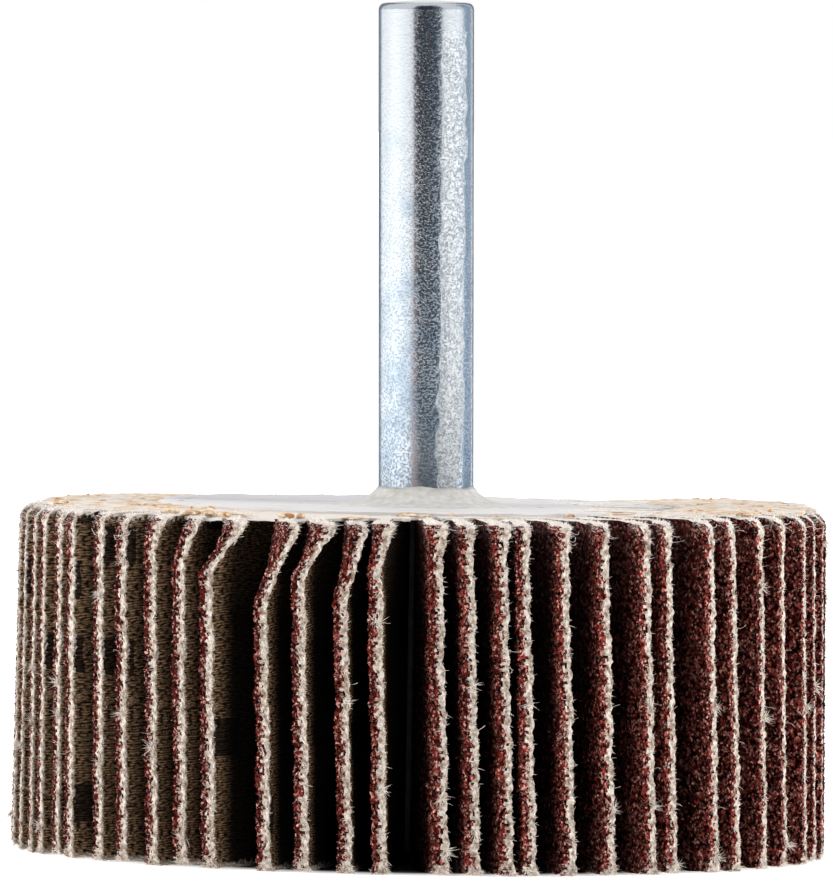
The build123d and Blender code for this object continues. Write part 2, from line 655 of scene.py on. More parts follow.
def flap_blank():
    """Mesh of a flat strip with its materials and its UV map."""
    bm = bmesh.new()
    middle = Matrix.Translation((-strip_length / 2, 0, strip_height / 2))
    size = Matrix.Diagonal((strip_length, strip_thickness, strip_height, 1))
    bmesh.ops.create_cube(bm, size=1, matrix=middle @ size)
    level_count = round(strip_height / height_pitch)
    cuts = [(Vector((-depth * mm, 0, 0)), Vector((1, 0, 0))) for depth in length_cuts]
    cuts += [(Vector((0, side * mm, 0)), Vector((0, 1, 0))) for side in thickness_cuts]
    cuts += [
        (Vector((0, 0, strip_height * level / level_count)), Vector((0, 0, 1)))
        for level in range(1, level_count)
    ]
    for place, normal in cuts:
        everything = bm.verts[:] + bm.edges[:] + bm.faces[:]
        bmesh.ops.bisect_plane(
            bm, geom=everything, dist=cut_slack, plane_co=place, plane_no=normal
        )
    strip_map = bm.loops.layers.uv.new("strip")
    for face in bm.faces:
        middle = face.calc_center_median()
        if face.normal.y < -0.5:
            face.material_index = GRIT
        elif face.normal.y > 0.5:
            face.material_index = TWILL
            face.smooth = True
        elif middle.y < coat_top and face.normal.x > 0.5:
            face.material_index = GRIT
        else:
            face.material_index = COTTON
        for loop in face.loops:
            loop[strip_map].uv = (-loop.vert.co.x, loop.vert.co.z)
    mesh = bpy.data.meshes.new("flap_blank")
    bm.to_mesh(mesh)
    bm.free()
    return mesh


blank = flap_blank()
print("the blank has", len(blank.polygons), "faces")

# %% [markdown]
# The blank is then torn up a little. The grit side gets a random height at each vertex,
# because grains do not lie flat. The cut edges get slow waves with fine jitter on top, as
# cloth that was chopped and then worn. Some faces of the tip change hands between cotton
# and grit, so that their border is ragged, and at the foot the coat has chipped off the
# tip and left cotton. Everything comes from a generator that is seeded with the flap's
# number, so each flap differs and each run is the same.

# %% Roughen a flat flap
grit_relief = 0.12 * mm
edge_relief = 0.07 * mm
cloth_wave, tip_wave = 0.05 * mm, 0.07 * mm
outer_reach = 5 * mm
wave_depth, wave_side = 0.3 * mm, -0.2 * mm
# What is this near to a side of the blank lies on it.
hair_breadth = 0.001 * mm


def slow_wave(rng, heights, lengths, size):
    """Sum of sines along the height, one for each wavelength, with random phases."""
    total = np.zeros_like(heights)
    for length in lengths:
        total += np.sin(2 * math.pi * heights / length + rng.uniform(0, 2 * math.pi))
    return size * total / len(lengths)


def roughen(points, rng):
    """Moves the vertices of a flat flap: x from the tip back, y across, z up."""
    x, y, z = points.T
    outer = np.exp(x / outer_reach)
    on_coat = y < -half_thickness + hair_breadth
    on_tip = x > -hair_breadth
    y -= np.where(on_coat, rng.uniform(-0.6, 1.0, len(y)) * grit_relief * (0.4 + outer), 0)
    x += np.where(on_tip, rng.uniform(-1.0, 1.0, len(x)) * edge_relief, 0)
    cloth = on_tip & (y > coat_top)
    x += np.where(cloth, slow_wave(rng, z, (2.3 * mm, 1.1 * mm, 0.6 * mm), cloth_wave), 0)
    y += np.where(on_tip & ~on_coat, rng.uniform(-1, 1, len(y)) * 0.6 * edge_relief, 0)
    near_tip = (x > -wave_depth) & (y > wave_side)
    y += np.where(near_tip, slow_wave(rng, z, (1.3 * mm, 0.7 * mm), tip_wave), 0)
    ends = (z < hair_breadth) | (z > strip_height - hair_breadth)
    sink = np.abs(rng.normal(0, 1, len(z))) * 1.2 * edge_relief
    z += np.where(ends, np.where(z > strip_height / 2, -sink, sink), 0)
    return np.stack([x, y, z], axis=1)


border_reach, swapped_share = 0.1 * mm, 0.35
foot_fray = 0.8 * mm


def ragged_border(bm, rng):
    """Swaps faces by the border of grit and cotton, and bares the foot of the tip."""
    places = np.array([face.calc_center_median() for face in bm.faces])
    x, y, z = places.T
    chance = rng.random(len(x))
    on_tip = x > -hair_breadth
    swapped = on_tip & (np.abs(y - coat_top) < border_reach) & (chance < swapped_share)
    for face, swap in zip(bm.faces, swapped):
        if swap:
            face.material_index = COTTON if face.material_index == GRIT else GRIT
    frayed_foot = on_tip & (z < foot_fray * np.sqrt(chance))
    for face, frayed in zip(bm.faces, frayed_foot):
        if frayed:
            face.material_index = COTTON


print("grit stands", round(grit_relief / mm, 2), "mm proud at the most")

# %% [markdown]
# Loose grains and fibres are real geometry, since they break the outline. A grain is a
# pyramid with three or four sides, sunk into the coat at a random tilt, and a fibre is a
# slender one with three. Both are cones that a matrix puts in place, so no vertex is
# typed by hand, and both are made on the flat flap and bend with it afterwards.

# %% Grains
batch_size = 25
grain_count = 420
grain_reach, grain_border = 1.0 * mm, -0.05 * mm


def place_along(spot, direction, length):
    """Matrix that stands a cone of that length on a spot, along a direction."""
    turn = Vector(direction).normalized().to_track_quat("Z", "Y").to_matrix().to_4x4()
    return Matrix.Translation(spot) @ turn @ Matrix.Translation((0, 0, length / 2))


def add_cones(bm, cones, material_index):
    """Adds cones to the flap. Each is its sides, two radii, length and matrix.

    An operator looks at the whole of its bmesh, so few are made in each small one.
    """
    scratch = bpy.data.meshes.new("scratch")
    for start in range(0, len(cones), batch_size):
        part = bmesh.new()
        for segments, wide, narrow, length, matrix in cones[start:start + batch_size]:
            bmesh.ops.create_cone(
                part,
                cap_ends=True,
                segments=segments,
                radius1=wide,
                radius2=narrow,
                depth=length,
                matrix=matrix,
            )
        for face in part.faces:
            face.material_index = material_index
        part.to_mesh(scratch)
        part.free()
        bm.from_mesh(scratch)
    bpy.data.meshes.remove(scratch)


def grains(rng):
    """Grains by the coat's outer edge, on its worn end, and on its face near the tip."""
    cones = []
    for _ in range(grain_count):
        height = rng.uniform(0.005, 0.975) * strip_height
        where = rng.random()
        if where < 0.35:
            spot = (0, -half_thickness, height)
            lean = (0.6, rng.normal(-1.0, 0.4), rng.normal(0, 0.6))
        elif where < 0.6:
            spot = (0, rng.uniform(-half_thickness, grain_border), height)
            lean = (1, rng.normal(-0.3, 0.6), rng.normal(0, 0.6))
        else:
            spot = (-abs(rng.normal(0, grain_reach)), -half_thickness, height)
            lean = (rng.normal(0.2, 0.5), -1, rng.normal(0, 0.5))
        size = rng.uniform(0.05, 0.14) * mm
        length = rng.uniform(1.2, 2.4) * size
        sunk = Vector(spot) - Vector(lean).normalized() * 0.3 * length
        sides = int(rng.integers(3, 5))
        cones.append((sides, size, 0, length, place_along(sunk, lean, length)))
    return cones


print(grain_count, "grains a flap")

# %% [markdown]
# Fibres stand where the cloth is cut: along the tip, in a dense brush at the outer top
# corner, in a thin one at the foot, and along the top and bottom edges. Now and then a
# thread has burst into a tuft. They spread outwards, because the threads do.

# %% Fibres
# The lengths and the spreads of the fibres are drawn in mm, and then scaled.
fibre_width = 0.025 * mm
fibre_root, brush_drop, coat_overlap = 0.05 * mm, 0.03 * mm, 0.1 * mm
tip_fibres, corner_fibres, foot_fibres = 480, 330, 110
top_fibres, bottom_fibres = 260, 140
most_tufts, tuft_fibres, tuft_spread = 2, 30, 0.09 * mm


def spike(spot, direction, length):
    """Settings of a fibre's cone."""
    return 3, fibre_width, 0, length, place_along(spot, direction, length)


def fibres(rng):
    """Cones of all fibres of a flap."""
    cones = []
    for _ in range(tip_fibres):
        across = rng.beta(0.6, 0.6)
        side = coat_top + across * (half_thickness - coat_top)
        spot = (-fibre_root, side, rng.random() * strip_height)
        lean = (0.6, rng.normal(1.6 * across - 0.5, 0.7), rng.normal(0, 0.7))
        cones.append(spike(spot, lean, rng.gamma(3.0, 0.05) * mm))
    for _ in range(corner_fibres):
        depth, drop = abs(rng.normal(0, 0.4)) * mm, abs(rng.normal(0, 0.5)) * mm
        side = rng.uniform(-half_thickness, half_thickness)
        spot = (-fibre_root - depth, side, strip_height - brush_drop - drop)
        lean = (rng.normal(0.5, 0.5), rng.normal(2 * side / mm, 0.8), rng.normal(0.4, 0.6))
        cones.append(spike(spot, lean, rng.uniform(0.12, 0.45) * mm))
    for _ in range(foot_fibres):
        side = rng.uniform(-half_thickness, half_thickness)
        spot = (-abs(rng.normal(0, 0.2)) * mm, side, abs(rng.normal(0, 0.3)) * mm)
        lean = (rng.normal(0.8, 0.4), rng.normal(2 * side / mm, 0.7), rng.normal(-0.2, 0.5))
        cones.append(spike(spot, lean, rng.uniform(0.12, 0.4) * mm))
    for count, end, up in ((top_fibres, strip_height, 1), (bottom_fibres, 0, -1)):
        for _ in range(count):
            depth = abs(rng.normal(0, 3.5)) * mm
            side = rng.uniform(coat_top - coat_overlap, half_thickness)
            spot = (-depth, side, end - up * fibre_root)
            lean = (rng.normal(0.2, 0.6), rng.normal(0, 0.8), 0.8 * up)
            cones.append(spike(spot, lean, rng.gamma(3.0, 0.05) * mm))
    for _ in range(int(rng.integers(0, most_tufts + 1))):
        tuft = Vector((0, rng.uniform(coat_top, half_thickness), rng.random() * strip_height))
        for _ in range(tuft_fibres):
            lean = (0.8, rng.normal(0.1, 0.9), rng.normal(0, 0.9))
            spread = Vector(rng.normal(0, tuft_spread, 3))
            cones.append(spike(tuft + spread, lean, rng.uniform(0.25, 0.8) * mm))
    return cones


fibre_count = tip_fibres + corner_fibres + foot_fibres + top_fibres + bottom_fibres
print(fibre_count, "fibres a flap, and up to", most_tufts, "tufts")

# %% [markdown]
# A few long hairs curl away from the edges. A hair is a tiny triangle that is spun about
# an axis beside it, which leaves a curved, closed tube.

# %% Curled hairs
hair_count = 10
hair_width = 0.013 * mm
share_by_top, top_reach = 0.45, 1.5 * mm


def add_hairs(bm, rng):
    """Adds curled hairs to the tip of a flap, nearly half of them close to its top."""
    scratch = bpy.data.meshes.new("scratch")
    for _ in range(hair_count):
        by_top = rng.random() < share_by_top
        height = strip_height - rng.random() * top_reach if by_top else rng.random() * strip_height
        spot = Vector((0, rng.uniform(coat_top, half_thickness), height))
        across = Vector(rng.normal(0, 1, 3)).normalized()
        axis = across.cross(Vector((1, 0.3, 0.2))).normalized()
        hair = bmesh.new()
        bmesh.ops.create_circle(
            hair, cap_ends=True, segments=3, radius=hair_width, matrix=place_along(spot, across, 0)
        )
        bmesh.ops.spin(
            hair,
            geom=hair.verts[:] + hair.edges[:] + hair.faces[:],
            cent=spot + axis.cross(across) * rng.uniform(0.2, 0.6) * mm,
            axis=axis,
            angle=rng.uniform(0.8, 2.6),
            steps=6,
        )
        bmesh.ops.recalc_face_normals(hair, faces=hair.faces[:])
        for face in hair.faces:
            face.material_index = FIBRE
        hair.to_mesh(scratch)
        hair.free()
        bm.from_mesh(scratch)
    bpy.data.meshes.remove(scratch)


print(hair_count, "hairs a flap")

# %% [markdown]
# The flat flap now has to stand where its CAD solid stands. The solid's own corners say
# how: its innermost corners give the direction of the root, and its outermost corners,
# level by level, say how far the tip has leaned.

# %% Read how each flap leans
core_radius = max(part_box("resin_core")[1].x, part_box("resin_core")[1].y)
same_place, same_level = 0.002 * mm, 0.02 * mm


def flap_form(name):
    """Root direction, the levels, and the tip's place at each level in the root's frame."""
    mesh = nodes[name].data
    corners = np.array([vertex.co for vertex in mesh.vertices])
    radii = np.hypot(corners[:, 0], corners[:, 1])
    root = np.unique(np.round(corners[radii < radii.min() + same_place], 7), axis=0)
    along = Vector((*root[:, :2].mean(axis=0), 0)).normalized()
    across = Vector((-along.y, along.x, 0))
    # The faces of the tip look outwards and lie outside the core.
    on_tip = {
        index
        for face in mesh.polygons
        if face.normal.dot(along) > 0.7 and face.center.dot(along) > core_radius
        for index in face.vertices
    }
    tip_points = corners[sorted(on_tip)] @ np.array([along, across, (0, 0, 1)]).T
    levels, tips, shifts = [], [], []
    for level in np.unique(np.round(tip_points[:, 2], 5)):
        here = tip_points[np.abs(tip_points[:, 2] - level) < same_level]
        left, right = here[:, 1].min(), here[:, 1].max()
        # A level counts only where both sides of the strip have a corner.
        if right - left > 0.8 * strip_thickness:
            levels.append(level)
            tips.append(here[:, 0].mean())
            shifts.append((left + right) / 2)
    return along, across, levels, tips, shifts


forms = {name: flap_form(name) for name in flap_names}
print("flap_25 leans by", [round(shift / mm, 2) for shift in forms["flap_25"][4]], "mm")

# %% [markdown]
# Use has rounded the outer corners of the flaps. At the top corner the cloth is brushed
# out into fluff, on nearly half of the flaps a lot of it, and the foot swells a little.
# Each foot also ends at its own height, so the wheel stands on a few flaps only.

# %% Wear the corners of a flap
corner_size = 1.0 * mm
top_wear, tip_wear, foot_wear, foot_swell = 0.2 * mm, 0.5 * mm, 0.1 * mm, 0.15 * mm
fluffy_share, much_fluff = 0.45, 0.25 * mm
most_lift = 0.2 * mm
# The coat is stiffer than the cloth, and swells less.
coat_swell = 0.6


def wear_corners(depth, side, height, rng):
    """Rounds the outer corners, swells them with fluff and lifts the foot."""
    top = np.clip(1 - (strip_height - height) / corner_size, 0, 1) ** 2
    brush = np.clip(1 - (strip_height - height) / (2 * corner_size), 0, 1)
    foot = np.clip(1 - height / corner_size, 0, 1) ** 2
    near_tip = np.exp(np.minimum(depth, 0) / corner_size)
    fluff = rng.uniform(0.06, 0.15) * mm
    fluff += much_fluff if rng.random() < fluffy_share else 0
    outward = np.clip(side / half_thickness, -1, 1)
    side = side + fluff * outward * np.where(side > 0, brush, coat_swell * brush) * near_tip
    side = side + foot_swell * outward * foot * near_tip
    lift = min(rng.gamma(1.5, 0.05) * mm, most_lift) * (1 - height / strip_height)
    height = height + lift - top_wear * top * near_tip
    depth = depth - (tip_wear * top + foot_wear * foot) * near_tip
    return depth, side, height


print("the corners are worn over", round(corner_size / mm, 1), "mm")

# %% [markdown]
# Between root and tip the lean grows along the same curve as in the solid, and slow waves
# let each flap sway. A folded corner turns over much closer to the tip than the flap
# bends. On the wheel's right side the top edges stand up to a quarter millimetre higher,
# and the resin on them will follow the same rise.

# %% Bend a flap into place
# The flap is straight for this share of its free length, as in the part's source.
bend_start = 0.55
fold_sharpness = 9
sway_height = 0.09 * mm
right_rise, rise_start, rise_length = 0.25 * mm, 10 * mm, 10 * mm


def top_rise(x):
    """How much higher the top edges stand at a place across the wheel."""
    return right_rise * np.clip((x - rise_start) / rise_length, 0, 1)


def bend(points, form, rng):
    """Takes points of the flat flap to their place on the wheel."""
    along, across, levels, tips, shifts = form
    depth, side, height = wear_corners(*points.T, rng)
    tip = np.interp(height, levels, tips)
    sway = slow_wave(rng, height, (9 * mm, 4.3 * mm, 2.6 * mm), sway_height)
    shift = np.interp(height, levels, shifts)
    # The levels below the fold say how the whole flap leans. What is more is the fold.
    slope = (shifts[1] - shifts[0]) / (levels[1] - levels[0])
    lean = shifts[0] + slope * (height - levels[0])
    fold = shift - lean
    # Fibres reach out past the tip, so the share of the free length may pass 1.
    free = tip - core_radius
    share = np.clip(1 + depth / free, 0, 1.2)
    # The quadratic curve of the solid: share = 2 * bend_start * step + straight * step**2
    straight = 1 - 2 * bend_start
    step = (np.sqrt(bend_start**2 + straight * share) - bend_start) / straight
    radial = tip + depth
    sideways = side + (lean + sway) * step**2 + fold * np.minimum(step, 1) ** fold_sharpness
    place = np.outer(radial, along) + np.outer(sideways, across)
    rise = top_rise(along.x * tips[-1])
    place[:, 2] = np.maximum(height * (1 + rise / strip_height), 0)
    return place


print("the top edges rise by", round(top_rise(20 * mm) / mm, 2), "mm on the right")

# %% [markdown]
# With all of that a flap is four steps: copy the blank, roughen it, add grains, fibres
# and hairs, and bend the result into place. The new flap rides on the wheel and stands
# in for the smooth CAD solid.

# %% Build the flaps
def frayed_flap(name, seed):
    """Piece that stands in for one flap of the CAD model."""
    rng = np.random.default_rng(seed)
    bm = bmesh.new()
    bm.from_mesh(blank)
    ragged_border(bm, rng)
    flat = roughen(np.array([vertex.co for vertex in bm.verts]), rng)
    for vertex, place in zip(bm.verts, flat):
        vertex.co = place
    add_cones(bm, grains(rng), GRIT)
    add_cones(bm, fibres(rng), FIBRE)
    add_hairs(bm, rng)
    bent = bend(np.array([vertex.co for vertex in bm.verts]), forms[name], rng)
    for vertex, place in zip(bm.verts, bent):
        vertex.co = place
    mesh = bpy.data.meshes.new("frayed_" + name)
    bm.to_mesh(mesh)
    bm.free()
    for material in flap_materials:
        mesh.materials.append(material)
    piece = bpy.data.objects.new("frayed_" + name, mesh)
    bpy.context.scene.collection.objects.link(piece)
    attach(piece, "root")
    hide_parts(name)
    return piece


flaps = [frayed_flap(name, seed) for seed, name in enumerate(flap_names)]
bpy.data.meshes.remove(blank)
flap_triangles = sum(len(flap.data.loops) - 2 * len(flap.data.polygons) for flap in flaps)
print(len(flaps), "flaps with", flap_triangles, "triangles")

# %% [markdown]
# The shank is drawn steel with a thin bright coat of electroplated zinc. Plating follows
# every dent of the drawn rod, so the mirror is broken up by fine dimples, like orange
# peel. The free end is the smoothest, and the zinc gets coarser and bluer towards the
# wheel. The CAD pin has the right shape and only needs a finish, built here in three
# steps: the tint, a chain of hammered patches, and the material that joins them.

# %% Tint of the zinc
shank_low, shank_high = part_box("cover_disc")[1].z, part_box("shank")[1].z
smooth_length = 3 * mm


def zinc_tint(tree, lower, cloud, dimples):
    """Silver in whiter and bluer clouds, with blue specks in the dimples.

    Lower is 0 at the free end and 1 at the wheel, and there the blue is strongest.
    """
    brightness = add_node(
        tree,
        "ShaderNodeMath",
        {0: lower, 1: -0.4, 2: cloud},
        operation="MULTIPLY_ADD",
    )
    whiter = add_node(
        tree,
        "ShaderNodeMapRange",
        {"Value": brightness.outputs["Value"], "From Min": 0.0, "From Max": 0.4},
    )
    tint = add_node(
        tree,
        "ShaderNodeMix",
        {
            FACTOR: whiter.outputs["Result"],
            COLOUR_A: colour("#9dabb8"),
            COLOUR_B: colour("#c2c8cd"),
        },
        data_type="RGBA",
    )
    blue_specks = add_node(
        tree,
        "ShaderNodeMapRange",
        {"Value": dimples, "From Min": 0.46, "From Max": 0.66, "To Max": lower},
    )
    speckled = add_node(
        tree,
        "ShaderNodeMix",
        {
            FACTOR: blue_specks.outputs["Result"],
            COLOUR_A: tint.outputs[MIXED],
            COLOUR_B: colour("#8c9dac"),
        },
        data_type="RGBA",
    )
    return speckled.outputs[MIXED]


print("the zinc runs from", round(shank_low / mm, 1), "to", round(shank_high / mm, 1), "mm up")

# %% [markdown]
# A chain of hammered patches runs down the front of the shank, right of its middle, and
# stops short of the free end. Its sides waver: noise shifts the place across the shank
# before its distance from the middle of the chain is taken. Noise has a mean of a half,
# so the middle is moved by half of the shift too.

# %% Chain of hammered patches
chain_place, chain_half_width = 1.6 * mm, 0.78 * mm
chain_shift, chain_border = 1.2 * mm, 0.08 * mm
chain_top, chain_full = shank_high - 1.8 * mm, shank_high - 2.4 * mm


def hammered_chain(tree, place, edge_wave):
    """1 on the hammered patches and 0 on the rest of the shank."""
    apart = add_node(tree, "ShaderNodeSeparateXYZ", {"Vector": place})
    wavy_side = add_node(
        tree,
        "ShaderNodeMath",
        {0: edge_wave, 1: chain_shift, 2: apart.outputs["X"]},
        operation="MULTIPLY_ADD",
    )
    from_middle = add_node(
        tree,
        "ShaderNodeMath",
        {0: wavy_side.outputs["Value"], 1: chain_place + chain_shift / 2},
        operation="SUBTRACT",
    )
    off_chain = add_node(
        tree, "ShaderNodeMath", {0: from_middle.outputs["Value"]}, operation="ABSOLUTE"
    )
    below_end = add_node(
        tree,
        "ShaderNodeMapRange",
        {"Value": apart.outputs["Z"], "From Min": chain_top, "From Max": chain_full},
    )
    on_chain = add_node(
        tree,
        "ShaderNodeMapRange",
        {
            "Value": off_chain.outputs["Value"],
            "From Min": chain_half_width,
            "From Max": chain_half_width - chain_border,
            "To Max": below_end.outputs["Result"],
        },
    )
    return on_chain.outputs["Result"]


print("the hammered chain is", round(2 * chain_half_width / mm, 1), "mm wide")

# %% [markdown]
# The hammered patches are duller than the rest, since their dents scatter the light. Two
# bump maps follow each other: the fine pits of the plating, then the coarse dents.

# %% Zinc-plated steel
cloud_size, dimple_size, hammer_size, wave_size = 2.4 * mm, 0.15 * mm, 0.23 * mm, 2.0 * mm
bright_roughness, dull_roughness = 0.16, 0.4
pit_depth, dent_depth = 0.02 * mm, 0.06 * mm


def zinc_plate():
    """Material of the shank."""
    material, tree, shader, place = new_material("zinc_plated_drawn_steel", Metallic=1.0)
    height = add_node(tree, "ShaderNodeSeparateXYZ", {"Vector": place})
    lower = add_node(
        tree,
        "ShaderNodeMapRange",
        {
            "Value": height.outputs["Z"],
            "From Min": shank_high - smooth_length,
            "From Max": shank_low,
        },
    ).outputs["Result"]
    cloud, dimples, hammered, edge_wave = (
        add_node(
            tree, "ShaderNodeTexNoise", {"Vector": place, "Scale": 1 / size, **more}
        ).outputs["Fac"]
        for size, more in (
            (cloud_size, {"Detail": 3}),
            (dimple_size, {"Detail": 4, "Roughness": 0.65}),
            (hammer_size, {"Detail": 2, "Distortion": 1.5}),
            (wave_size, {"Detail": 2}),
        )
    )
    on_chain = hammered_chain(tree, place, edge_wave)
    dents = add_node(
        tree,
        "ShaderNodeMapRange",
        {"Value": hammered, "From Min": 0.4, "From Max": 0.58},
    )
    dented = add_node(
        tree,
        "ShaderNodeMix",
        {
            FACTOR: dents.outputs["Result"],
            COLOUR_A: colour("#9ca5ad"),
            COLOUR_B: colour("#dcdfe1"),
        },
        data_type="RGBA",
    )
    plated = add_node(
        tree,
        "ShaderNodeMix",
        {
            FACTOR: on_chain,
            COLOUR_A: zinc_tint(tree, lower, cloud, dimples),
            COLOUR_B: dented.outputs[MIXED],
        },
        data_type="RGBA",
    )
    tree.links.new(plated.outputs[MIXED], shader.inputs["Base Color"])
    dull = add_node(
        tree,
        "ShaderNodeMapRange",
        {"Value": on_chain, "To Min": bright_roughness, "To Max": dull_roughness},
    )
    tree.links.new(dull.outputs["Result"], shader.inputs["Roughness"])
    pits = add_node(
        tree,
        "ShaderNodeMapRange",
        {"Value": dimples, "From Min": 0.5, "From Max": 0.72},
    )
    pit_strength = add_node(
        tree,
        "ShaderNodeMapRange",
        {"Value": lower, "To Min": 0.25, "To Max": 0.45},
    )
    fine = add_node(
        tree,
        "ShaderNodeBump",
        {
            "Height": pits.outputs["Result"],
            "Strength": pit_strength.outputs["Result"],
            "Distance": pit_depth,
        },
    )
    coarse = add_node(
        tree,
        "ShaderNodeBump",
        {
            "Height": hammered,
            "Strength": on_chain,
            "Distance": dent_depth,
            "Normal": fine.outputs["Normal"],
        },
    )
    tree.links.new(coarse.outputs["Normal"], shader.inputs["Normal"])
    return material


plating = zinc_plate()
nodes["shank"].material_slots[0].material = plating
print("the shank is", plating.name.replace("_", " "))

# %% [markdown]
# The core is epoxy that was poured round the roots. Deep in the pack, between the flaps, it is
# painted nearly black for the deep shade there. On the collar, where it was drawn up the shank in a
# thin skin, it is milky.

# %% Cast epoxy
collar_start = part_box("cover_disc")[1].z
milk_depth = 0.3 * mm
milk_size, wave_length, wave_height = 0.5 * mm, 1.5 * mm, 0.2 * mm


def cast_epoxy():
    """Material of the core and of its skin on the shank."""
    material, tree, shader, place = new_material(
        "cast_amber_epoxy", Roughness=0.45, IOR=1.55, Specular_IOR_Level=0.2
    )
    height = add_node(tree, "ShaderNodeSeparateXYZ", {"Vector": place})
    on_collar = add_node(
        tree,
        "ShaderNodeMapRange",
        {
            "Value": height.outputs["Z"],
            "From Min": collar_start - milk_depth,
            "From Max": collar_start,
        },
    )
    clouds = add_node(
        tree, "ShaderNodeTexNoise", {"Vector": place, "Scale": 1 / milk_size, "Detail": 3}
    )
    milky = add_node(
        tree,
        "ShaderNodeMix",
        {
            FACTOR: clouds.outputs["Fac"],
            COLOUR_A: colour("#9c9890"),
            COLOUR_B: colour("#e0dedb"),
        },
        data_type="RGBA",
    )
    # Painted shade: below the collar the core is nearly black, for the shade deep between the
    # flaps.
    shade = add_node(
        tree,
        "ShaderNodeMix",
        {
            FACTOR: on_collar.outputs["Result"],
            COLOUR_A: colour("#0a0503"),
            COLOUR_B: milky.outputs[MIXED],
        },
        data_type="RGBA",
    )
    tree.links.new(shade.outputs[MIXED], shader.inputs["Base Color"])
    waves = add_node(tree, "ShaderNodeTexNoise", {"Vector": place, "Scale": 1 / wave_length})
    relief = add_node(
        tree,
        "ShaderNodeBump",
        {"Height": waves.outputs["Fac"], "Strength": 0.5, "Distance": wave_height},
    )
    tree.links.new(relief.outputs["Normal"], shader.inputs["Normal"])
    return material


epoxy_material = cast_epoxy()
nodes["resin_core"].material_slots[0].material = epoxy_material
print("the core is", epoxy_material.name.replace("_", " "))

# %% [markdown]
# The disc on top is thin white card. The print on it is left generic: a few thin grey rings that
# have worn into dashes. A pale grey band across the far side, darkest at the left, is painted
# shade. A ping-pong of the distance from the middle is zero on every ring, whatever its number.

# %% Printed card
ring_spacing, ring_half_width, ring_border = 3.8 * mm, 0.12 * mm, 0.1 * mm
wear_size = 2.2 * mm
band_start, band_border = 2.4 * mm, 0.4 * mm
band_dark, band_pale = -4 * mm, 3 * mm


def printed_card():
    """Material of the disc: matt card with worn grey ink, and a band of painted shade."""
    material, tree, shader, place = new_material(
        "white_printed_card", Roughness=0.6, IOR=1.5, Specular_IOR_Level=0.3
    )
    flat = add_node(
        tree, "ShaderNodeVectorMath", {0: place, 1: (1, 1, 0)}, operation="MULTIPLY"
    )
    away = add_node(
        tree, "ShaderNodeVectorMath", {0: flat.outputs["Vector"]}, operation="LENGTH"
    )
    off_ring = add_node(
        tree,
        "ShaderNodeMath",
        {0: away.outputs["Value"], 1: ring_spacing / 2},
        operation="PINGPONG",
    )
    line = add_node(
        tree,
        "ShaderNodeMapRange",
        {
            "Value": off_ring.outputs["Value"],
            "From Min": ring_half_width,
            "From Max": ring_half_width + ring_border,
            "To Min": 1.0,
            "To Max": 0.0,
        },
    )
    worn = add_node(tree, "ShaderNodeTexNoise", {"Vector": place, "Scale": 1 / wear_size})
    kept = add_node(
        tree,
        "ShaderNodeMapRange",
        {"Value": worn.outputs["Fac"], "From Min": 0.5, "From Max": 0.58, "To Max": 0.75},
    )
    ink = add_node(
        tree,
        "ShaderNodeMath",
        {0: line.outputs["Result"], 1: kept.outputs["Result"]},
        operation="MULTIPLY",
    )
    # Painted shade: a grey band across the far side, darkest at the left.
    apart = add_node(tree, "ShaderNodeSeparateXYZ", {"Vector": place})
    beyond = add_node(
        tree,
        "ShaderNodeMapRange",
        {
            "Value": apart.outputs["Y"],
            "From Min": band_start,
            "From Max": band_start + band_border,
        },
    )
    fade = add_node(
        tree,
        "ShaderNodeMapRange",
        {
            "Value": apart.outputs["X"],
            "From Min": band_dark,
            "From Max": band_pale,
            "To Min": 1.0,
            "To Max": 0.3,
        },
    )
    shade_band = add_node(
        tree,
        "ShaderNodeMath",
        {0: beyond.outputs["Result"], 1: fade.outputs["Result"]},
        operation="MULTIPLY",
    )
    paper = add_node(
        tree,
        "ShaderNodeMix",
        {
            FACTOR: shade_band.outputs["Value"],
            COLOUR_A: colour("#cdcac8"),
            COLOUR_B: colour("#b8b4b6"),
        },
        data_type="RGBA",
    )
    shade = add_node(
        tree,
        "ShaderNodeMix",
        {
            FACTOR: ink.outputs["Value"],
            COLOUR_A: paper.outputs[MIXED],
            COLOUR_B: colour("#98939a"),
        },
        data_type="RGBA",
    )
    tree.links.new(shade.outputs[MIXED], shader.inputs["Base Color"])
    return material


card_material = printed_card()
print("the disc is", card_material.name.replace("_", " "))

# %% [markdown]
# The card was pressed on while the resin was wet, so it isn't quite flat, and its rim
# lifts on the left, where a corner has curled up. It starts as a circle round the
# collar, which is extruded outwards ring by ring, and its vertices are then lifted.
# Solidify gives it the thickness of the card. The same helpers serve for the resin skins.

# %% Helpers for thin sheets
def add_piece(name, bm, material, slot, *replaced):
    """Turns a bmesh into a piece of the wheel that rides with it."""
    mesh = bpy.data.meshes.new(name)
    bm.to_mesh(mesh)
    bm.free()
    mesh.materials.append(material)
    piece = bpy.data.objects.new(name, mesh)
    bpy.context.scene.collection.objects.link(piece)
    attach(piece, "root")
    if replaced:
        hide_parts(*replaced)
    return piece


def ring_sheet(inner, outer, ring_count, segments=128):
    """Flat ring round the Z axis, from one radius to the other, facing up."""
    bm = bmesh.new()
    bmesh.ops.create_circle(bm, segments=segments, radius=inner)
    edges = bm.edges[:]
    for ring in range(1, ring_count + 1):
        radius = inner + (outer - inner) * ring / ring_count
        grown = bmesh.ops.extrude_edge_only(bm, edges=edges)["geom"]
        edges = [item for item in grown if isinstance(item, bmesh.types.BMEdge)]
        for vert in {vert for edge in edges for vert in edge.verts}:
            vert.co *= radius / vert.co.length
    bmesh.ops.recalc_face_normals(bm, faces=bm.faces[:])
    if bm.faces[:][0].normal.z < 0:
        bmesh.ops.reverse_faces(bm, faces=bm.faces[:])
    return bm


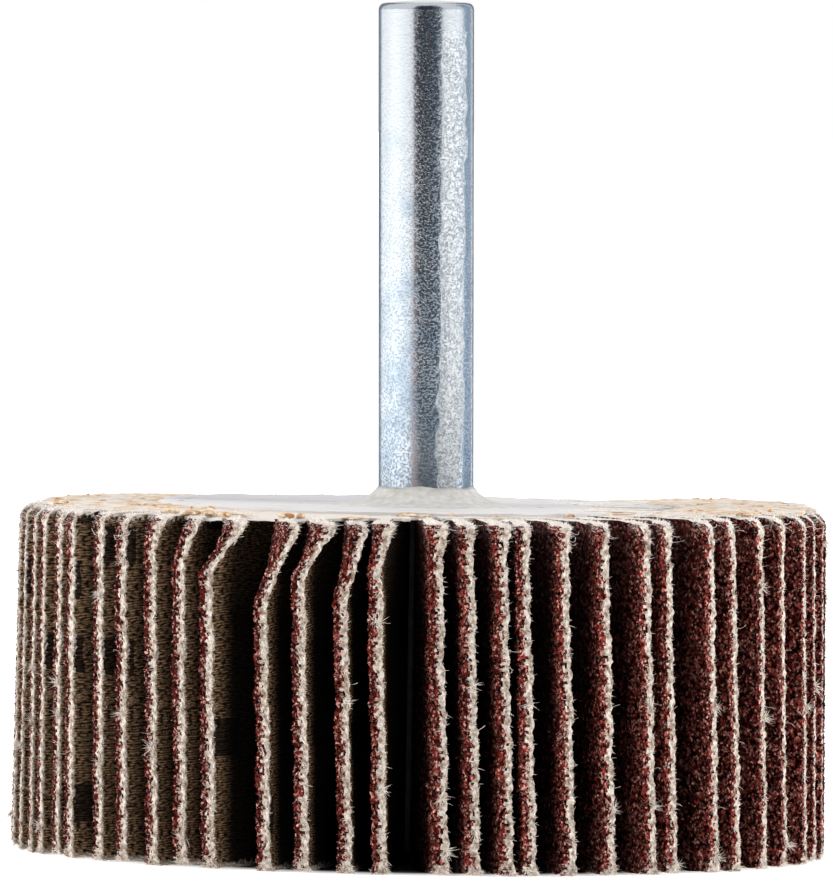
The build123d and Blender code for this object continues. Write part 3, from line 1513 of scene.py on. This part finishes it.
def thicken(bm, thickness):
    """Gives a sheet its thickness, downwards, and smooths its two faces."""
    bmesh.ops.recalc_face_normals(bm, faces=bm.faces[:])
    if sum(face.normal.z for face in bm.faces) < 0:
        bmesh.ops.reverse_faces(bm, faces=bm.faces[:])
    bmesh.ops.solidify(bm, geom=bm.faces[:], thickness=thickness)
    bmesh.ops.recalc_face_normals(bm, faces=bm.faces[:])
    for face in bm.faces:
        face.smooth = abs(face.normal.z) > 0.4


def lumps(place, *bumps):
    """Sum of noises at a place, one for each pair of a size and a height."""
    return sum(noise.noise(place / size) * height for size, height in bumps)


print("helpers for a sheet:", ring_sheet.__name__, thicken.__name__, add_piece.__name__)

# %% Card disc
disc_low, disc_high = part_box("cover_disc")
disc_radius = (disc_high.x - disc_low.x) / 2
# The collar's size and place are those of the part's source.
collar_radius, collar_offset = 3.9 * mm, 0.2 * mm
card_thickness = 0.2 * mm
rim_lift, far_lift = 0.15 * mm, 0.06 * mm
cockle_size, cockle_height = 4 * mm, 0.06 * mm
tatter_size, tatter_height = 0.8 * mm, 0.05 * mm


def card_disc():
    """The disc: loose in its outer third only, and curled up at the left of its rim."""
    bm = ring_sheet(collar_radius, disc_radius, 16)
    for vert in bm.verts:
        inward = 1 - vert.co.length / disc_radius
        vert.co.x += collar_offset * inward
        loose = np.clip(vert.co.length / disc_radius * 3 - 2, 0, 1) ** 2
        left = np.clip(-vert.co.x / disc_radius * 2.2 - 1.0, 0, 1)
        far = np.clip(vert.co.y / disc_radius, 0, 1)
        cockle = lumps(vert.co, (cockle_size, cockle_height))
        ragged = lumps(vert.co, (tatter_size, tatter_height))
        lift = rim_lift * np.clip(0.2 + far, 0, 1) * left + far_lift * far
        vert.co.z = disc_high.z + loose * (lift + cockle + ragged)
        vert.co += vert.co.normalized() * ragged * loose * 2
    thicken(bm, card_thickness)
    return add_piece("cockled_card_disc", bm, card_material, "cover_card", "cover_disc")


disc = card_disc()
print("the disc is", round(2 * disc_radius / mm, 1), "mm across,", len(disc.data.polygons), "faces")

# %% [markdown]
# Where the resin meets the shank it has crept up and dried as a skin that flares out
# over the card. Its height falls away from the shank along an exponential curve, as a
# liquid's does at a wall.

# %% Resin meniscus
meniscus_height, meniscus_fall, meniscus_reach = 1.2 * mm, 0.9 * mm, 6.2 * mm
meniscus_sunk, meniscus_thickness = 0.02 * mm, 0.05 * mm
drip_bumps = ((1.2 * mm, 0.12 * mm), (0.5 * mm, 0.04 * mm))
shank_radius = 3.0 * mm


def meniscus():
    """The skin of resin, thin enough to fade into the card at its edge."""
    bm = ring_sheet(shank_radius, meniscus_reach, 14, 96)
    for vert in bm.verts:
        climb = math.exp((shank_radius - vert.co.length) / meniscus_fall)
        drips = lumps(vert.co, *drip_bumps)
        vert.co.z = disc_high.z - meniscus_sunk + meniscus_height * climb
        vert.co.z += drips * math.sqrt(climb)
        vert.co.x += collar_offset
    thicken(bm, meniscus_thickness)
    return add_piece("resin_meniscus", bm, epoxy_material, "resin")


skin = meniscus()
print("the resin climbs", meniscus_height / mm, "mm, with", len(skin.data.polygons), "faces")

# %% [markdown]
# Resin was squeezed out round the disc and smeared over the tops of the flaps beside it.
# It dried there as a pale skin that bridges the gaps and ends raggedly. How far it
# reaches differs round the wheel, so a short table gives the reach by the azimuth, and
# noise frays the edge. Faces beyond the reach are deleted and the new rim is smoothed.

# %% Resin smear
# Azimuths are degrees from the front, growing towards +X, and reaches are radii in mm.
smear_reach = (
    (-180, 16.2), (-150, 16.5), (-130, 23.0), (-90, 24.0), (-66, 23.5), (-50, 22.8),
    (-38, 23.8), (-12, 24.3), (0, 19.0), (30, 17.8), (45, 19.5), (55, 23.0),
    (80, 24.6), (110, 24.6), (135, 23.0), (150, 16.5), (180, 16.2),
)
smear_overlap, smear_limit = 0.6 * mm, 25 * mm
fray_size, fray_reach = 1.3 * mm, 1.6
smear_thickness, smear_seat = 0.16 * mm, 0.02 * mm
side_rise, far_rise, smear_droop = 0.1 * mm, 0.06 * mm, 0.3 * mm
near_fade, droop_start, droop_length, beside_width = 20 * mm, 20 * mm, 3 * mm, 12 * mm
smear_bumps = ((0.9 * mm, 0.08 * mm), (0.4 * mm, 0.04 * mm))
stain_patch = 1.1 * mm
clean_side, stained_side = -17 * mm, -10 * mm


def pale_smear():
    """Material of the smear. Its near side is the cleanest."""
    material, tree, shader, place = new_material(
        "pale_smeared_epoxy", Roughness=0.6, IOR=1.55, Specular_IOR_Level=0.3
    )
    patches = add_node(
        tree, "ShaderNodeTexNoise", {"Vector": place, "Scale": 1 / stain_patch, "Detail": 4}
    )
    apart = add_node(tree, "ShaderNodeSeparateXYZ", {"Vector": place})
    stained = add_node(
        tree,
        "ShaderNodeMapRange",
        {
            "Value": apart.outputs["Y"],
            "From Min": clean_side,
            "From Max": stained_side,
            "To Min": 0.1,
            "To Max": 1.0,
        },
    )
    share = add_node(
        tree,
        "ShaderNodeMapRange",
        {
            "Value": patches.outputs["Fac"],
            "From Min": 0.44,
            "From Max": 0.62,
            "To Max": stained.outputs["Result"],
        },
    )
    shade = add_node(
        tree,
        "ShaderNodeMix",
        {
            FACTOR: share.outputs["Result"],
            COLOUR_A: colour("#d3cbc3"),
            COLOUR_B: colour("#bf9f76"),
        },
        data_type="RGBA",
    )
    tree.links.new(shade.outputs[MIXED], shader.inputs["Base Color"])
    return material


def settle_smear(vert):
    """Lays a vertex on the flap tops, and lets it droop at the rim on the near side."""
    near = np.clip(0.5 - vert.co.y / near_fade, 0, 1)
    outer = np.clip((vert.co.length - droop_start) / droop_length, 0, 1)
    beside = np.clip(abs(vert.co.x) / beside_width - 0.3, 0, 1)
    height = disc_low.z + smear_seat + lumps(vert.co, *smear_bumps)
    height += side_rise * (vert.co.x / disc_radius) ** 2 + far_rise * (1 - near)
    height -= smear_droop * beside * near * outer**2
    vert.co.z = height + top_rise(vert.co.x)


def resin_smear():
    """The skin of resin round the disc."""
    bm = ring_sheet(disc_radius - smear_overlap, smear_limit, 20, 256)
    azimuths, reaches = zip(*smear_reach)
    bare = []
    for face in bm.faces:
        middle = face.calc_center_median()
        azimuth = math.degrees(math.atan2(middle.x, -middle.y))
        reach = np.interp(azimuth, azimuths, reaches) + lumps(middle, (fray_size, fray_reach))
        if middle.length > reach * mm:
            bare.append(face)
    bmesh.ops.delete(bm, geom=bare, context="FACES")
    rim = [vert for vert in bm.verts if vert.is_boundary and vert.co.length > disc_radius]
    for _ in range(3):
        bmesh.ops.smooth_vert(bm, verts=rim, factor=0.5, use_axis_x=True, use_axis_y=True)
    for vert in bm.verts:
        settle_smear(vert)
    thicken(bm, smear_thickness)
    return add_piece("resin_smear", bm, pale_smear(), "resin")


smear = resin_smear()
print("the smear has", len(smear.data.polygons), "faces")

# %% [markdown]
# Thicker drops of the same resin dried as amber crusts. Each crust is a flattened ball
# with a lumpy skin, and they gather in arcs: most at the two sides, fewer along the
# front, and a few more further back.

# %% Resin crusts
# For each arc: its first and last azimuth, its inner and outer radius in mm, the height
# of its tallest crusts in mm, and how many lie on it.
crust_arcs = (
    ((-124, -112), (22.0, 24.0), 0.22, 12),
    ((-125, -80), (18.0, 23.5), 0.2, 40),
    ((-75, -48), (16.8, 20.0), 0.2, 22),
    ((-46, -8), (22.5, 24.3), 0.2, 16),
    ((-5, 60), (16.5, 17.6), 0.2, 10),
    ((55, 105), (17.5, 24.0), 0.2, 40),
    ((113, 135), (22.0, 24.2), 0.22, 24),
)
crust_seat = 0.08 * mm
skin_size, skin_height = 0.35 * mm, 0.09 * mm
mottle_size = 0.5 * mm


def amber_resin():
    """Material of the crusts: glossy resin, mottled from amber to cream."""
    material, tree, shader, place = new_material(
        "dried_amber_epoxy", Roughness=0.45, IOR=1.55, Specular_IOR_Level=0.5
    )
    mottle = add_node(
        tree, "ShaderNodeTexNoise", {"Vector": place, "Scale": 1 / mottle_size, "Detail": 3}
    )
    share = add_node(
        tree,
        "ShaderNodeMapRange",
        {"Value": mottle.outputs["Fac"], "From Min": 0.38, "From Max": 0.62},
    )
    shade = add_node(
        tree,
        "ShaderNodeMix",
        {
            FACTOR: share.outputs["Result"],
            COLOUR_A: colour("#a8743c"),
            COLOUR_B: colour("#e2cfb4"),
        },
        data_type="RGBA",
    )
    tree.links.new(shade.outputs[MIXED], shader.inputs["Base Color"])
    return material


def resin_crusts():
    """All crusts, as one piece."""
    rng = np.random.default_rng(7)
    bm = bmesh.new()
    for azimuths, radii, tallest, count in crust_arcs:
        for _ in range(count):
            away = math.radians(rng.uniform(*azimuths))
            radius = rng.uniform(*radii) * mm
            spot = Vector((radius * math.sin(away), -radius * math.cos(away), 0))
            spot.z = disc_low.z + crust_seat + top_rise(spot.x)
            wide, high = rng.gamma(2.0, 0.25) * mm, rng.uniform(0.05, tallest) * mm
            matrix = (
                Matrix.Translation(spot)
                @ Matrix.Rotation(rng.uniform(0, math.pi), 4, "Z")
                @ Matrix.Diagonal((wide, wide * rng.uniform(0.3, 0.8), high, 1))
            )
            bmesh.ops.create_icosphere(bm, subdivisions=2, radius=1, matrix=matrix)
    for vert in bm.verts:
        vert.co += Vector((1, 1, 0.6)) * lumps(vert.co, (skin_size, skin_height))
    return add_piece("resin_crusts", bm, amber_resin(), "resin")


crusts = resin_crusts()
print("the crusts have", len(crusts.data.polygons), "faces")

# %% [markdown]
# The wheel stands on a plain pale floor in a white room. The floor glows softly, as a light table
# does, but under the wheel a painted shadow darkens it and cuts its glow. That also keeps the gaps
# between the flaps from being lit from below.

# %% Floor
glow_start, glow_full = 22 * mm, 24 * mm
shade_start, shade_end = 20 * mm, 24 * mm
# The floor lies a hair lower than the feet of the flaps. It is 30 m wide.
floor_width, floor_place = 30, (0, 0, -0.01 * mm)


def stage_plane(name, width, height, place, turn):
    """Plane of the stage, which is rendered but isn't part of the wheel."""
    bm = bmesh.new()
    matrix = Matrix.Translation(place) @ turn @ Matrix.Diagonal((width, height, 1, 1))
    bmesh.ops.create_grid(bm, x_segments=1, y_segments=1, size=0.5, matrix=matrix)
    mesh = bpy.data.meshes.new(name)
    bm.to_mesh(mesh)
    bm.free()
    plane = bpy.data.objects.new(name, mesh)
    bpy.context.scene.collection.objects.link(plane)
    return plane


def pale_floor():
    """Material of the floor, with a painted shadow by the distance from the middle of the wheel."""
    material, tree, shader, place = new_material("pale_matt_floor", Roughness=0.9)
    shader.inputs["Emission Color"].default_value = colour("#ffffff")
    away = add_node(tree, "ShaderNodeVectorMath", {0: place}, operation="LENGTH")
    # Painted shadow: the colour and the glow fall away under the wheel.
    for socket, start, end, least, most in (
        ("Base Color", shade_start, shade_end, 0.1, 0.95),
        ("Emission Strength", glow_start, glow_full, 0.0, 0.6),
    ):
        step = add_node(
            tree,
            "ShaderNodeMapRange",
            {
                "Value": away.outputs["Value"],
                "From Min": start,
                "From Max": end,
                "To Min": least,
                "To Max": most,
            },
        )
        tree.links.new(step.outputs["Result"], shader.inputs[socket])
    return material


floor = stage_plane("floor", floor_width, floor_width, floor_place, Matrix.Identity(4))
floor.data.materials.append(pale_floor())
print("the floor is dark within", round(shade_start / mm), "mm of the wheel's middle")

# %% [markdown]
# The shank is a mirror, so what stands round the wheel draws its dark and bright stripes.
# Felt screens do that, each between two azimuths: dark ones in front, which also keep
# the front gaps dark, a bluish one beside them, and grey ones far round on both sides,
# for the shank's two edges. A low warm screen gives the faint brown streak at the foot
# of the shank. The camera sees none of them, and three cast no shade on the wheel: they
# are for the mirror alone.

# %% Screens
# For each screen: its first and last azimuth, its distance and height in m, its colour.
screens = {
    "brown_screen": ((-37, -20), 0.37, 0.022, "#c89886"),
    "front_screen": ((-30, 20), 0.4, 0.9, "#182430"),
    "thin_screen": ((5, 6.6), 0.37, 0.9, "#6a544c"),
    "blue_screen": ((13, 38), 0.38, 0.9, "#2a3644"),
    "right_screen": ((101, 140), 0.4, 0.5, "#8494a4"),
    "far_right_screen": ((150, 172), 0.4, 0.5, "#5c6470"),
    "left_screen": ((-172, -140), 0.4, 0.5, "#6a7282"),
}
# A dark mat lies before the front screen. Its width, depth and place are in m.
mat_width, mat_depth, mat_place = 0.4, 0.14, (0, -0.32, 0.001)


def felt_screen(name, azimuths, distance, height, code):
    """Screen on the floor that faces the wheel."""
    middle, half = sum(azimuths) / 2, (azimuths[1] - azimuths[0]) / 2
    away = math.radians(middle)
    width = 2 * distance * math.tan(math.radians(half))
    turn = Matrix.Rotation(away, 4, "Z") @ Matrix.Rotation(math.pi / 2, 4, "X")
    place = (distance * math.sin(away), -distance * math.cos(away), height / 2)
    screen = stage_plane(name, width, height, place, turn)
    material, _, shader, _ = new_material(name + "_felt", Roughness=1.0)
    shader.inputs["Base Color"].default_value = colour(code)
    screen.data.materials.append(material)
    return screen


planes = {name: felt_screen(name, *settings) for name, settings in screens.items()}
mat = stage_plane("dark_mat", mat_width, mat_depth, mat_place, Matrix.Identity(4))
mat.data.materials.append(bpy.data.materials["front_screen_felt"])
planes["dark_mat"] = mat
for plane in planes.values():
    plane.visible_camera = False
for name in ("brown_screen", "thin_screen", "dark_mat"):
    planes[name].visible_diffuse = planes[name].visible_shadow = False
print(len(planes), "planes stand or lie round the wheel")

# %% [markdown]
# The light is soft: the white room itself, a large soft box on each side, and one above
# and behind. The shank doesn't mirror the boxes, only the room and the screens.

# %% Room and soft boxes
# For each soft box: its place, its width and height in m, and its power in W.
soft_boxes = {
    "left_soft_box": ((-1.15, -0.2, 0.35), 0.6, 0.7, 12),
    "right_soft_box": ((1.15, -0.2, 0.35), 0.6, 0.7, 13),
    "top_soft_box": ((0, 0.3, 1.2), 0.8, 0.8, 4),
}
wheel_middle = Vector((0, 0, 0.02))


def soft_box(name, place, width, height, power):
    """Area light that faces the wheel and shows in no mirror."""
    light = bpy.data.objects.new(name, bpy.data.lights.new(name, "AREA"))
    light.data.shape = "RECTANGLE"
    light.data.size = width
    light.data.size_y = height
    light.data.energy = power
    light.visible_camera = False
    light.visible_glossy = False
    turn = (wheel_middle - Vector(place)).to_track_quat("-Z", "Y").to_matrix().to_4x4()
    light.matrix_world = Matrix.Translation(place) @ turn
    bpy.context.scene.collection.objects.link(light)


for name, settings in soft_boxes.items():
    soft_box(name, *settings)
world = bpy.data.worlds.new("white_room")
world.use_nodes = True
world.node_tree.nodes["Background"].inputs["Color"].default_value = colour("#ffffff")
world.node_tree.nodes["Background"].inputs["Strength"].default_value = 1.0
bpy.context.scene.world = world
bpy.context.scene.view_settings.view_transform = "Standard"
print("the stage has", len(bpy.data.lights), "soft boxes")
